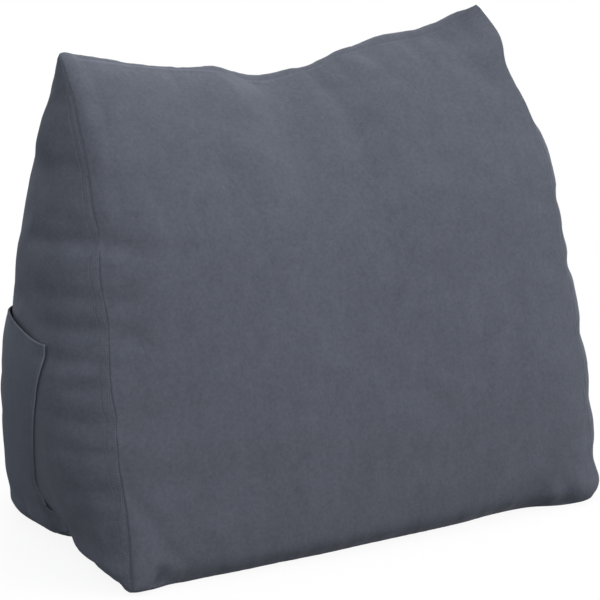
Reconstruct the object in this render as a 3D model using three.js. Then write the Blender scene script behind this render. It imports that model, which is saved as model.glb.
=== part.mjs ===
// Back cushion: a filled wedge that stands on its base, with a patch pocket on its left side panel.
// Units are millimetres. +X runs along the width, +Y towards the back and +Z up.

import * as THREE from 'three';
import { mergeVertices } from 'three/addons/utils/BufferGeometryUtils.js';

// Driving sizes, between the corners where the seams meet
const baseWidth = 610;
const baseDepth = 321;
const ridgeWidth = 544;
const ridgeHeight = 556;
const ridgeSetBack = 228; // from the front corners of the base
const cornerLift = 5; // the base corners stand this far off the floor

// Steps of the net on each panel, and how much closer they lie beside the seams
const steps = { width: 28, depth: 18, height: 44 };
const closer = { width: 0.55, depth: 0.45, height: 0.3 };
const slopeStep = 0.01; // the share of a panel over which its direction is measured
const weld = 0.001; // points nearer than this are one

// Each row says how far a seam strays, at that share of its length, from the line between its corners.
// The panels follow the main rows right across, and the ripple rows only close to the seam.
const ridgeRows = [
  { at: 0, drop: 0 },
  { at: 0.07, drop: 9 },
  { at: 0.15, drop: 22 },
  { at: 0.29, drop: 38 },
  { at: 0.4, drop: 50 },
  { at: 0.49, drop: 61 },
  { at: 0.59, drop: 55 },
  { at: 0.65, drop: 45 },
  { at: 0.76, drop: 32 },
  { at: 0.87, drop: 25 },
  { at: 0.95, drop: 9 },
  { at: 1, drop: 0 },
];
const frontLeftRows = [
  { at: 0, out: 0, forward: 0 },
  { at: 0.09, out: 0, forward: 10 },
  { at: 0.19, out: 3, forward: 22 },
  { at: 0.3, out: 6, forward: 34 },
  { at: 0.5, out: 8, forward: 46 },
  { at: 0.68, out: 6, forward: 50 },
  { at: 0.81, out: 4, forward: 40 },
  { at: 0.92, out: 0, forward: 19 },
  { at: 1, out: 0, forward: 0 },
];
const frontRightRows = [
  { at: 0, out: 0, forward: 0 },
  { at: 0.09, out: 3, forward: 10 },
  { at: 0.19, out: 5, forward: 22 },
  { at: 0.3, out: 6, forward: 34 },
  { at: 0.5, out: 7, forward: 46 },
  { at: 0.68, out: 8, forward: 50 },
  { at: 0.81, out: 5, forward: 38 },
  { at: 0.92, out: 2, forward: 23 },
  { at: 1, out: 0, forward: 0 },
];
const sideRippleRows = [
  { at: 0, out: 0, forward: 0 },
  { at: 0.03, out: 7, forward: 1 },
  { at: 0.09, out: 1, forward: 0 },
  { at: 0.2, out: -1, forward: 0 },
  { at: 0.5, out: 0, forward: 0 },
  { at: 0.7, out: 2, forward: 0 },
  { at: 0.79, out: 2, forward: 0 },
  { at: 0.88, out: -9, forward: 0 },
  { at: 0.94, out: 5, forward: 3 },
  { at: 1, out: 0, forward: 0 },
];
const backSideRows = [
  { at: 0, out: 0, forward: 0 },
  { at: 0.12, out: 0, forward: -7 },
  { at: 0.3, out: 2, forward: -15 },
  { at: 0.5, out: 2, forward: -18 },
  { at: 0.7, out: 0, forward: -13 },
  { at: 0.88, out: -3, forward: -8 },
  { at: 1, out: 0, forward: 0 },
];
const frontFootRippleRows = [
  { at: 0, tuck: 0, lift: 0 },
  { at: 0.5, tuck: 0, lift: 0 },
  { at: 0.78, tuck: 5, lift: 0 },
  { at: 0.92, tuck: -2, lift: -1 },
  { at: 0.97, tuck: -5, lift: -3 },
  { at: 1, tuck: 0, lift: 0 },
];
const leftFootRippleRows = [
  { at: 0, tuck: 0, lift: 0 },
  { at: 0.3, tuck: 2, lift: 1 },
  { at: 0.46, tuck: 9, lift: 4 },
  { at: 0.62, tuck: 5, lift: 1 },
  { at: 0.8, tuck: 0, lift: 0 },
  { at: 1, tuck: 0, lift: 0 },
];
const footRows = [
  { at: 0, tuck: 0, lift: 0 },
  { at: 0.08, tuck: 2, lift: -3 },
  { at: 0.2, tuck: 4, lift: -4 },
  { at: 0.5, tuck: 5, lift: -4 },
  { at: 0.8, tuck: 4, lift: -4 },
  { at: 0.92, tuck: 2, lift: -3 },
  { at: 1, tuck: 0, lift: 0 },
];

// How far each panel swells, how soon it does so beside each seam, and how far it rolls over the seams at
// its low and high edges. The crown is extra fullness in the middle, and the belly low down, where the
// filling settles.
const swell = {
  front: {
    rise: 24, crown: 12, belly: 0,
    reach: { near: 40, far: 40, low: 22, high: 34 }, roll: { low: 0.4, high: 0 },
  },
  back: {
    rise: 34, crown: 10, belly: 0,
    reach: { near: 28, far: 28, low: 22, high: 15 }, roll: { low: 0.4, high: 1.2 },
  },
  left: {
    rise: 41, crown: 8, belly: 4,
    reach: { near: 26, far: 31, low: 28 }, roll: { low: 0.2, high: 0 },
  },
  right: {
    rise: 41, crown: 8, belly: 5,
    reach: { near: 26, far: 30, low: 34 }, roll: { low: 0.2, high: 0 },
  },
  base: {
    rise: 10, crown: 0, belly: 0,
    reach: { near: 16, far: 16, low: 16, high: 16 }, roll: { low: 0, high: 0 },
  },
};
const rollFade = 30; // how far from the seam a roll dies away
const rippleFade = 45; // and a ripple
const bellyAt = 0.25; // shares of the height
const bellySpread = 0.2;

// The main creases. Each runs from one place on its panel to another, given in shares of the panel.
// A negative depth is a soft ridge. Width is the distance over which the crease dies away to its sides.
// The wide one on the left panel is the shallow dip behind the pocket.
const creases = {
  left: [
    { a0: 0, b0: 0.8, a1: 0.6, b1: 0.78, depth: 2, width: 14 },
    { a0: 0, b0: 0.66, a1: 0.6, b1: 0.63, depth: 3.5, width: 13 },
    { a0: 0, b0: 0.55, a1: 0.5, b1: 0.53, depth: 2.5, width: 13 },
    { a0: 0, b0: 0.49, a1: 0.4, b1: 0.475, depth: 2, width: 12 },
    { a0: 0, b0: 0.43, a1: 0.35, b1: 0.42, depth: 1.5, width: 12 },
    { a0: 0, b0: 0.32, a1: 0.35, b1: 0.31, depth: 2.5, width: 13 },
    { a0: 0, b0: 0.26, a1: 0.3, b1: 0.25, depth: 1.5, width: 12 },
    { a0: 0, b0: 0.19, a1: 0.3, b1: 0.18, depth: 2, width: 13 },
    { a0: 0.8, b0: 0.26, a1: 0.3, b1: 0.24, depth: 4, width: 75 },
  ],
  right: [
    { a0: 0, b0: 0.78, a1: 0.5, b1: 0.77, depth: 2.5, width: 13 },
    { a0: 0, b0: 0.62, a1: 0.5, b1: 0.61, depth: 2, width: 13 },
    { a0: 0, b0: 0.48, a1: 0.5, b1: 0.46, depth: 2.5, width: 13 },
    { a0: 0, b0: 0.33, a1: 0.4, b1: 0.32, depth: 2, width: 13 },
    { a0: 0, b0: 0.2, a1: 0.4, b1: 0.19, depth: 2, width: 13 },
    { a0: 0, b0: 0.07, a1: 0.3, b1: 0.09, depth: 2.5, width: 13 },
  ],
  front: [
    { a0: 0, b0: 0.66, a1: 0.12, b1: 0.66, depth: 2, width: 15 },
    { a0: 0, b0: 0.49, a1: 0.08, b1: 0.49, depth: 1.5, width: 14 },
    { a0: 0.58, b0: 1, a1: 0.63, b1: 0.9, depth: 2, width: 14 },
    { a0: 0.9, b0: 0.88, a1: 1, b1: 0.86, depth: 2, width: 18 },
    { a0: 0.03, b0: 0.02, a1: 0.05, b1: 0.16, depth: -3, width: 14 },
    { a0: 0.075, b0: 0.01, a1: 0.1, b1: 0.14, depth: 3, width: 14 },
  ],
  back: [
    { a0: 0, b0: 0.7, a1: 0.12, b1: 0.69, depth: 2, width: 15 },
    { a0: 0, b0: 0.4, a1: 0.12, b1: 0.41, depth: 2, width: 15 },
    { a0: 1, b0: 0.62, a1: 0.88, b1: 0.61, depth: 2, width: 15 },
    { a0: 1, b0: 0.3, a1: 0.89, b1: 0.31, depth: 2, width: 15 },
  ],
  base: [],
};
const creaseStart = 8; // a crease reaches its depth this far from the seam that it leaves

// The pocket, sewn down along its front edge, its foot and its back edge
const pocket = {
  cloth: 2,
  seatGap: 0.6, // between the pocket and the panel along the sewn edges
  footGap: 1.4, // what is added to it at the foot, where the cloth turns under
  footFade: 8, // how sharply that ends above the foot, as a power of the height
  back: 0.965, // shares of the side panel's depth and height
  foot: 0.03,
  mouth: 0.452,
  mouthRise: 0.012, // the mouth climbs this much towards the back
  stand: 12, // how far the mouth stands off the panel at its fullest, at the back
  frontStand: 0.7, // the share of it at the front
  standRise: 0.8, // how the pocket comes off the panel with height, as a power
  edgeReach: 20, // how far from a sewn edge the pocket is nearly at its full stand
  steps: { depth: 14, height: 20 },
  closer: { depth: 0.4, height: 0.3 },
};
// How far back the pocket's front edge lies, by the share of the pocket's height
const pocketFrontRows = [
  { at: 0, setBack: 140 },
  { at: 0.2, setBack: 135 },
  { at: 0.5, setBack: 138 },
  { at: 0.8, setBack: 132 },
  { at: 1, setBack: 128 },
];

// Reads a column of a table as one smooth curve through its rows.
function read(rows, column, at) {
  let row = 0;
  while (row < rows.length - 2 && rows[row + 1].at < at) {
    row += 1;
  }
  const slope = (k) => {
    const before = rows[Math.max(k - 1, 0)];
    const after = rows[Math.min(k + 1, rows.length - 1)];
    return (after[column] - before[column]) / (after.at - before.at);
  };
  const span = rows[row + 1].at - rows[row].at;
  const t = (at - rows[row].at) / span;
  const rest = 1 - t;
  return rest * rest * (1 + 2 * t) * rows[row][column]
    + t * t * (3 - 2 * t) * rows[row + 1][column]
    + span * t * rest * (rest * slope(row) - t * slope(row + 1));
}

// The six corners
const corner = {
  frontLeft: new THREE.Vector3(-baseWidth / 2, 0, cornerLift),
  frontRight: new THREE.Vector3(baseWidth / 2, 0, cornerLift),
  backLeft: new THREE.Vector3(-baseWidth / 2, baseDepth, cornerLift),
  backRight: new THREE.Vector3(baseWidth / 2, baseDepth, cornerLift),
  ridgeLeft: new THREE.Vector3(-ridgeWidth / 2, ridgeSetBack, ridgeHeight),
  ridgeRight: new THREE.Vector3(ridgeWidth / 2, ridgeSetBack, ridgeHeight),
};

// A seam runs between two corners. Its bow is the smooth line that it follows. Its ripple is added to that.
function seam(from, to, bow, ripple) {
  const smooth = (at) => new THREE.Vector3().lerpVectors(from, to, at).add(bow(at));
  return { smooth, ripple, point: (at) => smooth(at).add(ripple(at)) };
}

const noStray = () => new THREE.Vector3();

function ridgeStray(rows) {
  return (at) => new THREE.Vector3(0, 0, -read(rows, 'drop', at));
}

function footStray(rows, inwardX, inwardY) {
  return (at) => {
    const tuck = read(rows, 'tuck', at);
    return new THREE.Vector3(inwardX * tuck, inwardY * tuck, read(rows, 'lift', at));
  };
}

function uprightStray(rows, outward) {
  return (at) => new THREE.Vector3(outward * read(rows, 'out', at), -read(rows, 'forward', at), 0);
}

const { frontLeft, frontRight, backLeft, backRight, ridgeLeft, ridgeRight } = corner;
const seams = {
  ridge: seam(ridgeLeft, ridgeRight, ridgeStray(ridgeRows), noStray),
  frontFoot: seam(frontLeft, frontRight, footStray(footRows, 0, 1), footStray(frontFootRippleRows, 0, 1)),
  backFoot: seam(backLeft, backRight, footStray(footRows, 0, -1), noStray),
  leftFoot: seam(frontLeft, backLeft, footStray(footRows, 1, 0), footStray(leftFootRippleRows, 1, 0)),
  rightFoot: seam(frontRight, backRight, footStray(footRows, -1, 0), noStray),
  frontLeft: seam(frontLeft, ridgeLeft, uprightStray(frontLeftRows, -1), noStray),
  frontRight: seam(frontRight, ridgeRight, uprightStray(frontRightRows, 1), uprightStray(sideRippleRows, 1)),
  backLeft: seam(backLeft, ridgeLeft, uprightStray(backSideRows, -1), noStray),
  backRight: seam(backRight, ridgeRight, uprightStray(backSideRows, 1), noStray),
};

// A panel lies between four seams: low and high run with its first share, near and far with its second.
// It faces 1 where its net runs counterclockwise from outside, or -1.
function sewnPanel(name, facing, low, high, near, far) {
  return { facing, low, high, near, far, creases: creases[name], ...swell[name] };
}

// The side panels are triangles, so their high edge is a point.
function ridgeEnd(tip) {
  const point = () => tip.clone();
  return { smooth: point, ripple: noStray, point };
}

const panels = {
  front: sewnPanel('front', 1, seams.frontFoot, seams.ridge, seams.frontLeft, seams.frontRight),
  back: sewnPanel('back', -1, seams.backFoot, seams.ridge, seams.backLeft, seams.backRight),
  left: sewnPanel('left', -1, seams.leftFoot, ridgeEnd(ridgeLeft), seams.frontLeft, seams.backLeft),
  right: sewnPanel('right', 1, seams.rightFoot, ridgeEnd(ridgeRight), seams.frontRight, seams.backRight),
  base: sewnPanel('base', -1, seams.frontFoot, seams.backFoot, seams.leftFoot, seams.rightFoot),
};

// The slack cloth between a panel's seams, before the filling swells it
function slack(panel, a, b) {
  return panel.low.smooth(a).multiplyScalar(1 - b)
    .addScaledVector(panel.high.smooth(a), b)
    .addScaledVector(panel.near.smooth(b), 1 - a)
    .addScaledVector(panel.far.smooth(b), a)
    .addScaledVector(panel.low.smooth(0), -(1 - a) * (1 - b))
    .addScaledVector(panel.low.smooth(1), -a * (1 - b))
    .addScaledVector(panel.high.smooth(0), -(1 - a) * b)
    .addScaledVector(panel.high.smooth(1), -a * b);
}

// The direction up a surface, and the way it faces
function directions(surface, facing, a, b) {
  const right = Math.min(a + slopeStep, 1);
  const left = Math.max(a - slopeStep, 0);
  const above = Math.min(b + slopeStep, 1);
  const below = Math.max(b - slopeStep, 0);
  const across = surface(right, b).sub(surface(left, b)).normalize();
  const up = surface(a, above).sub(surface(a, below)).normalize();
  const out = new THREE.Vector3().crossVectors(across, up).normalize().multiplyScalar(facing);
  return { up, out };
}

// How far a point of the panel lies from each of its seams
function distances(panel, a, b) {
  const width = panel.near.smooth(b).distanceTo(panel.far.smooth(b));
  const height = panel.low.smooth(a).distanceTo(panel.high.smooth(a));
  return { near: a * width, far: (1 - a) * width, low: b * height, high: (1 - b) * height, width, height };
}

// How deep the panel's creases are at a point, in millimetres
function creaseDepth(panel, a, b, away) {
  const fromSeam = Math.min(away.near, away.far, away.low, away.high);
  const place = (p, q) => new THREE.Vector2(p * away.width, q * away.height);
  let depth = 0;
  for (const crease of panel.creases) {
    const run = place(crease.a1 - crease.a0, crease.b1 - crease.b0);
    const here = place(a - crease.a0, b - crease.b0);
    const along = Math.min(Math.max(here.dot(run) / run.lengthSq(), 0), 1);
    const off = here.sub(run.multiplyScalar(along)).length() / crease.width;
    const tail = Math.cos(along * Math.PI / 2);
    depth += crease.depth * tail * Math.exp(-off * off);
  }
  return depth * (1 - Math.exp(-fromSeam / creaseStart));
}

// A point of the finished panel. On a seam it is the seam's own point.
function panelPoint(panel, a, b) {
  if (b === 0) {
    return panel.low.point(a);
  }
  if (b === 1) {
    return panel.high.point(a);
  }
  if (a === 0) {
    return panel.near.point(b);
  }
  if (a === 1) {
    return panel.far.point(b);
  }
  const away = distances(panel, a, b);
  const { up, out } = directions((p, q) => slack(panel, p, q), panel.facing, a, b);
  let full = 1;
  for (const [side, reach] of Object.entries(panel.reach)) {
    full *= 1 - Math.exp(-away[side] / reach);
  }
  const middle = 16 * a * (1 - a) * b * (1 - b); // 1 in the middle of the panel, 0 at its seams
  const low = (b - bellyAt) / bellySpread;
  const height = (panel.rise + panel.belly * Math.exp(-low * low)) * full + panel.crown * middle;
  const push = out.clone()
    .addScaledVector(up, -panel.roll.low * Math.exp(-away.low / rollFade))
    .addScaledVector(up, panel.roll.high * Math.exp(-away.high / rollFade))
    .normalize();
  const point = slack(panel, a, b)
    .addScaledVector(push, height)
    .addScaledVector(out, -creaseDepth(panel, a, b, away));
  for (const [side, share] of [['low', a], ['high', a], ['near', b], ['far', b]]) {
    point.addScaledVector(panel[side].ripple(share), Math.exp(-away[side] / rippleFade));
  }
  point.z = Math.max(point.z, 0); // the floor flattens what would reach below it
  return point;
}

// Where a point of the pocket lies on the side panel: s runs from its front edge to its back, t from its
// foot to its mouth.
function pocketPlace(s, t) {
  const mouth = pocket.mouth + pocket.mouthRise * s;
  const b = pocket.foot + t * (mouth - pocket.foot);
  const near = panels.left.near.point(b);
  const far = panels.left.far.point(b);
  const front = (read(pocketFrontRows, 'setBack', t) - near.y) / (far.y - near.y);
  return { a: front + s * (pocket.back - front), b };
}

// A point of the pocket, so far out through its cloth
function pocketPoint(s, t, through) {
  const { a, b } = pocketPlace(s, t);
  const surface = (p, q) => panelPoint(panels.left, p, q);
  const { out } = directions(surface, panels.left.facing, a, b);
  const width = surface(pocketPlace(0, t).a, b).distanceTo(surface(pocket.back, b));
  const freed = (share) => 1 - Math.exp(-share * width / pocket.edgeReach);
  const full = pocket.stand * (pocket.frontStand + (1 - pocket.frontStand) * s);
  const off = full * freed(s) * freed(1 - s) * t ** pocket.standRise;
  const seat = pocket.seatGap + pocket.footGap * (1 - t) ** pocket.footFade;
  return surface(a, b).addScaledVector(out, seat + off + through);
}

// Shares of a length in equal steps, drawn closer together near both ends
function shares(count, drawn) {
  return Array.from({ length: count + 1 }, (unused, i) => {
    const t = i / count;
    return i === count ? 1 : t - drawn * Math.sin(2 * Math.PI * t) / (2 * Math.PI);
  });
}

// Collects triangles over nets of points into one closed geometry.
class Shell {
  constructor() {
    this.positions = [];
  }

  triangle(p, q, r) {
    const area = new THREE.Vector3().crossVectors(q.clone().sub(p), r.clone().sub(p)).length();
    if (area > weld * weld) {
      this.positions.push(...p.toArray(), ...q.toArray(), ...r.toArray());
    }
  }

  // A net is a list of rows of points. With facing 1 it faces the side from which they run counterclockwise.
  net(rows, facing) {
    for (let j = 0; j < rows.length - 1; j += 1) {
      for (let i = 0; i < rows[j].length - 1; i += 1) {
        const [p, q, r, s] = [rows[j][i], rows[j][i + 1], rows[j + 1][i + 1], rows[j + 1][i]];
        if (facing > 0) {
          this.triangle(p, q, r);
          this.triangle(p, r, s);
        } else {
          this.triangle(p, r, q);
          this.triangle(p, s, r);
        }
      }
    }
  }

  // A sheet of cloth between two nets, closed round its edge
  sheet(inner, outer, facing) {
    const column = (rows, i) => rows.map((row) => row[i]);
    const last = inner.length - 1;
    const end = inner[0].length - 1;
    this.net(outer, facing);
    this.net(inner, -facing);
    this.net([inner[0], outer[0]], facing);
    this.net([outer[last], inner[last]], facing);
    this.net([column(outer, 0), column(inner, 0)], facing);
    this.net([column(inner, end), column(outer, end)], facing);
  }

  geometry() {
    const loose = new THREE.BufferGeometry();
    loose.setAttribute('position', new THREE.Float32BufferAttribute(this.positions, 3));
    const closed = mergeVertices(loose, weld);
    closed.computeVertexNormals();
    return closed;
  }
}

function cushionGeometry() {
  const shell = new Shell();
  for (const [name, panel] of Object.entries(panels)) {
    const aSide = name === 'left' || name === 'right' ? 'depth' : 'width';
    const bSide = name === 'base' ? 'depth' : 'height';
    const rows = shares(steps[bSide], closer[bSide])
      .map((b) => shares(steps[aSide], closer[aSide]).map((a) => panelPoint(panel, a, b)));
    shell.net(rows, panel.facing);
  }
  return shell.geometry();
}

function pocketGeometry() {
  const face = (through) => shares(pocket.steps.height, pocket.closer.height)
    .map((t) => shares(pocket.steps.depth, pocket.closer.depth).map((s) => pocketPoint(s, t, through)));
  const shell = new Shell();
  shell.sheet(face(0), face(pocket.cloth), panels.left.facing);
  return shell.geometry();
}

function namedMesh(name, geometry, material) {
  const mesh = new THREE.Mesh(geometry, material);
  mesh.name = name;
  return mesh;
}

const cushionCloth = new THREE.MeshStandardMaterial({ color: 0x59606b, roughness: 0.95, metalness: 0 });
const pocketCloth = new THREE.MeshStandardMaterial({ color: 0x4d535e, roughness: 0.95, metalness: 0 });

const group = new THREE.Group();
group.add(namedMesh('cushion', cushionGeometry(), cushionCloth));
group.add(namedMesh('pocket', pocketGeometry(), pocketCloth));

// The origin is the middle of the object's footprint, on the floor.
const bounds = new THREE.Box3().setFromObject(group);
const middle = bounds.getCenter(new THREE.Vector3());
group.position.set(-middle.x, -middle.y, -bounds.min.z);

export default group;
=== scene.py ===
# Back cushion with a side pocket: the looks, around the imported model. Metres, in the model's own frame.
import math
import bpy
import numpy as np
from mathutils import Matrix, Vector


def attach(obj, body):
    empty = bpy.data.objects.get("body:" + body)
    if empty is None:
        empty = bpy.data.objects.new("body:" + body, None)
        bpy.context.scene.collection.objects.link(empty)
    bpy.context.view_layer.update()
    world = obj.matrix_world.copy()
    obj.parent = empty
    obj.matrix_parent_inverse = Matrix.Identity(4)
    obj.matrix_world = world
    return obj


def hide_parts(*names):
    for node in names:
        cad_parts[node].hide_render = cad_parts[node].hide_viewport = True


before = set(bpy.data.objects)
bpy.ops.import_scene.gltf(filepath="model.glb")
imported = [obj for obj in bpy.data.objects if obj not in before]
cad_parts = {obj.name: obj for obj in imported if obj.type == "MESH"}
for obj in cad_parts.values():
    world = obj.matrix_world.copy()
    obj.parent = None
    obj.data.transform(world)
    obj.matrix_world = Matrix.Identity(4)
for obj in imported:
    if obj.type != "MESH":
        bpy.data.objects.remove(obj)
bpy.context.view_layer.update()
print("frame loaded")


def addObject(name, data):
    added = bpy.data.objects.new(name, data)
    bpy.context.scene.collection.objects.link(added)
    return added


# Camera, as far round and as high as in the photo
cameraView = {
    "azimuth": -29.0,  # degrees from straight in front, towards the pocket
    "elevation": 17.3,
    "distance": 3.5,
    "lens": 182.4,
    "sensor": 36,
    "clip": (0.1, 100),
    "aim": (-0.0083, -0.0196, 0.253),
}


def placeCamera(view):
    azimuth, elevation = math.radians(view["azimuth"]), math.radians(view["elevation"])
    back = Vector((
        math.sin(azimuth) * math.cos(elevation),
        -math.cos(azimuth) * math.cos(elevation),
        math.sin(elevation),
    ))
    data = bpy.data.cameras.new("camera")
    data.lens, data.sensor_width = view["lens"], view["sensor"]
    data.clip_start, data.clip_end = view["clip"]
    cameraObject = addObject("camera", data)
    cameraObject.location = Vector(view["aim"]) + back * view["distance"]
    cameraObject.rotation_euler = (-back).to_track_quat("-Z", "Y").to_euler()
    bpy.context.scene.camera = cameraObject


placeCamera(cameraView)
print("camera placed")


# The cover: five panels sewn along nine seams. A seam runs straight between two corners, with a long bow and
# small ripples, and each table says how far it strays from that line at shares of its length.
cover = {
    "footMiddle": (0.0027, -0.1696),  # the middle of the front foot seam, in the frame
    "baseWidth": 0.610,
    "baseDepth": 0.321,
    "ridgeWidth": 0.544,
    "ridgeHeight": 0.558,
    "ridgeSetBack": 0.228,
    "cornerLift": 0.005,
    "frontLeftLift": 0.0026,  # this corner sags lowest
    "ridge": {
        "at": [0, 0.02, 0.045, 0.079, 0.15, 0.21, 0.274, 0.316, 0.358, 0.395, 0.431, 0.463, 0.5, 0.549,
               0.59, 0.633, 0.669, 0.709, 0.767, 0.824, 0.89, 0.946, 0.98, 1],
        "drop": [0, 0.0030, 0.0120, 0.0160, 0.0250, 0.0315, 0.0375, 0.0407, 0.0450, 0.0518, 0.0599,
                 0.0632, 0.0629, 0.0583, 0.0556, 0.0480, 0.0425, 0.0396, 0.0350, 0.0336, 0.0289, 0.0188,
                 0.0074, 0],
    },
    "frontLeft": {
        "at": [0, 0.09, 0.19, 0.3, 0.5, 0.68, 0.81, 0.92, 1],
        "out": [0, 0, 0.003, 0.006, 0.008, 0.006, 0.004, 0, 0],
        "forward": [0, 0.010, 0.022, 0.034, 0.046, 0.050, 0.040, 0.019, 0],
    },
    "frontLeftRipple": {
        "at": [0, 0.05, 0.11, 0.166, 0.204, 0.253, 0.309, 0.346, 0.386, 0.429, 0.491, 0.519, 0.562, 0.605,
               0.64, 0.675, 0.726, 0.767, 0.84, 0.876, 0.915, 0.945, 1],
        "out": [0, 0, -0.0009, -0.0012, 0.0003, 0.0021, 0.0008, -0.0005, 0.0017, 0.0010, -0.0024, -0.0030,
                -0.0007, 0.0017, -0.0006, -0.0031, 0.0004, -0.0007, -0.0010, 0, -0.0010, 0.0003, 0],
    },
    "frontRight": {
        "at": [0, 0.09, 0.19, 0.3, 0.5, 0.68, 0.81, 0.92, 1],
        "out": [0, 0.003, 0.006, 0.008, 0.010, 0.014, 0.011, 0.006, 0],
        "forward": [0, 0.010, 0.022, 0.034, 0.046, 0.050, 0.038, 0.023, 0],
    },
    "frontRightRipple": {
        "at": [0, 0.03, 0.09, 0.2, 0.5, 0.7, 0.79, 0.88, 0.94, 1],
        "out": [0, 0.007, 0.001, -0.001, 0, 0.002, 0.002, -0.005, 0.004, 0],
        "forward": [0, 0.001, 0, 0, 0, 0, 0, 0, 0.003, 0],
    },
    "backSide": {
        "at": [0, 0.12, 0.3, 0.5, 0.7, 0.88, 1],
        "out": [0, 0, 0.002, 0.002, 0, -0.003, 0],
        "forward": [0, -0.007, -0.015, -0.018, -0.013, -0.008, 0],
    },
    "backLeftRipple": {
        "at": [0, 0.82, 0.88, 0.93, 0.97, 1],
        "out": [0, 0, 0.0005, 0.0013, 0.0014, 0.0003],
    },
    "foot": {
        "at": [0, 0.08, 0.2, 0.5, 0.8, 0.92, 1],
        "tuck": [0, 0.002, 0.004, 0.005, 0.004, 0.002, 0],
        "lift": [0, -0.003, -0.004, -0.004, -0.004, -0.003, 0],
    },
    "frontFootRipple": {
        "at": [0, 0.05, 0.08, 0.1, 0.12, 0.2, 0.3, 0.4, 0.5, 0.6, 0.7, 0.78, 0.86, 0.92, 0.97, 1],
        "tuck": [0, -0.0012, 0.0009, 0.0024, 0.0036, 0.0028, 0.0028, 0.0008, 0.0020, 0.0027, 0.0046,
                 0.0106, 0.0107, -0.0011, -0.0026, 0],
        "lift": [0, 0.0030, 0.0047, 0.0036, 0.0018, 0.0004, 0, 0, 0, 0, 0, 0, 0, -0.001, -0.003, 0],
    },
    "leftFootRipple": {
        "at": [0, 0.04, 0.08, 0.2, 0.3, 0.37, 0.46, 0.55, 0.7, 0.85, 1],
        "tuck": [0, 0.0008, 0.0034, 0.0123, 0.0133, 0.0195, 0.0199, 0.0094, 0.0062, -0.0024, 0],
        "lift": [0, -0.0002, 0.0024, 0.0050, 0.0065, 0.0134, 0.0131, 0.0063, 0, 0, 0],
    },
    "rollFade": 0.030,
    "rippleFade": 0.045,
    "bellyAt": 0.25,
    "bellySpread": 0.2,
    "creaseStart": 0.0018,
    "foldStart": 0.007,
    "tipRadius": 0.010,  # how far from a corner its point is blunted
    "tipPull": 0.0022,
    "probe": 0.01,  # the share of a panel over which its slope is taken
    "fineProbe": 0.004,
}

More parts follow.
